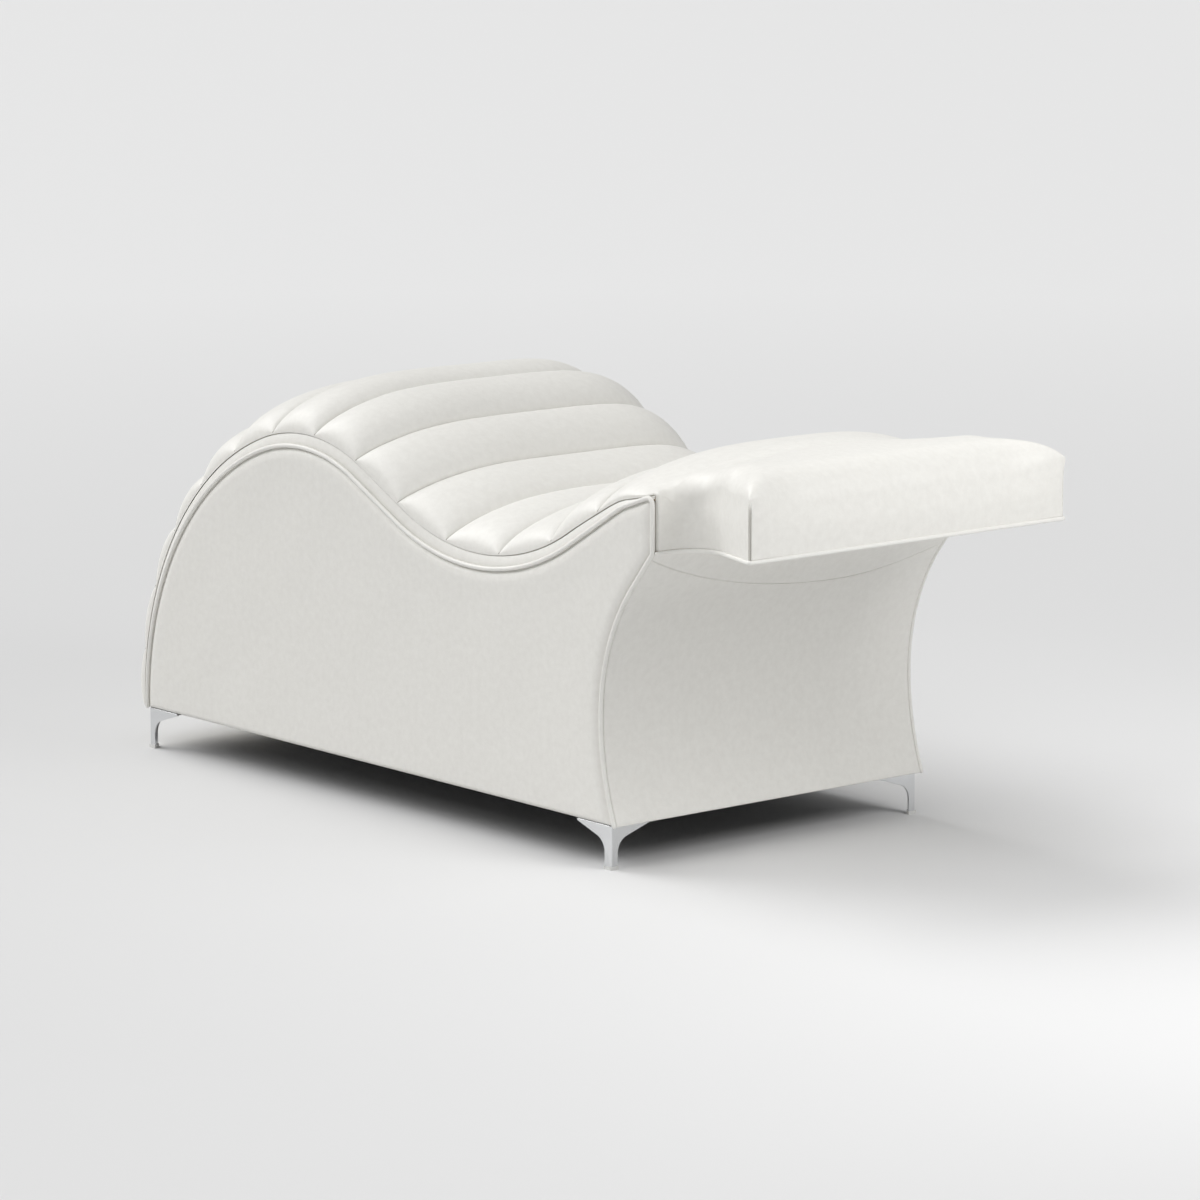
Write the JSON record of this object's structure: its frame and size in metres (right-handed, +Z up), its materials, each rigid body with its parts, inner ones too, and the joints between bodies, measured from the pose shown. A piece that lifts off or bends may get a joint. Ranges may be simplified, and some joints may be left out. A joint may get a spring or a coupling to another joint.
{
  "type": "eyelash extension bed",
  "caption": "Wave-shaped treatment bed with a crowned channel-quilted leatherette top, piped padded sides, a hollow front, an overhanging notched headrest and chrome corner legs.",
  "frame": {"origin": "on the floor, below the middle of the bed's overall box", "axes": "+X from the foot end to the headrest, +Y to the client's right, +Z up"},
  "size_m": [1.865, 0.75, 0.7713],
  "materials": {
    "leatherette": "warm off-white leatherette, fine grain, satin",
    "foam": "pale open-cell cushion foam",
    "plywood": "bare birch plywood",
    "timber": "planed softwood",
    "bar_steel": "black painted flat bar",
    "dust_cloth": "black non-woven dust cloth",
    "chrome": "polished chrome plate",
    "glide_plastic": "pale moulded plastic",
    "screw_steel": "zinc-plated steel"
  },
  "bodies": {
    "root": {"side_pad_left": "leatherette", "side_pad_right": "leatherette", "side_piping_left": "leatherette", "side_piping_right": "leatherette", "boxing_band_left": "leatherette", "boxing_band_right": "leatherette", "channel_pad_01": "leatherette", "channel_pad_02": "leatherette", "channel_pad_03": "leatherette", "channel_pad_04": "leatherette", "channel_pad_05": "leatherette", "channel_pad_06": "leatherette", "channel_pad_07": "leatherette", "channel_pad_08": "leatherette", "channel_pad_09": "leatherette", "channel_pad_10": "leatherette", "channel_pad_11": "leatherette", "channel_pad_12": "leatherette", "channel_pad_13": "leatherette", "neck_pad": "leatherette", "headrest_cushion": "leatherette", "headrest_liner": "leatherette", "headrest_piping": "leatherette", "front_apron": "leatherette", "front_pad": "leatherette", "seat_foam": "foam", "side_frame_left": "plywood", "side_frame_right": "plywood", "centre_rib": "plywood", "seat_deck": "plywood", "front_board": "plywood", "base_board": "plywood", "headrest_board": "plywood", "cross_rails": "timber", "corner_blocks": "timber", "headrest_rails": "timber", "headrest_stiffeners": "bar_steel", "dust_cover": "dust_cloth", "leg_foot_left": "chrome", "leg_foot_right": "chrome", "leg_head_left": "chrome", "leg_head_right": "chrome", "glide_foot_left": "glide_plastic", "glide_foot_right": "glide_plastic", "glide_head_left": "glide_plastic", "glide_head_right": "glide_plastic", "leg_screws": "screw_steel"}
  },
  "joints": []
}
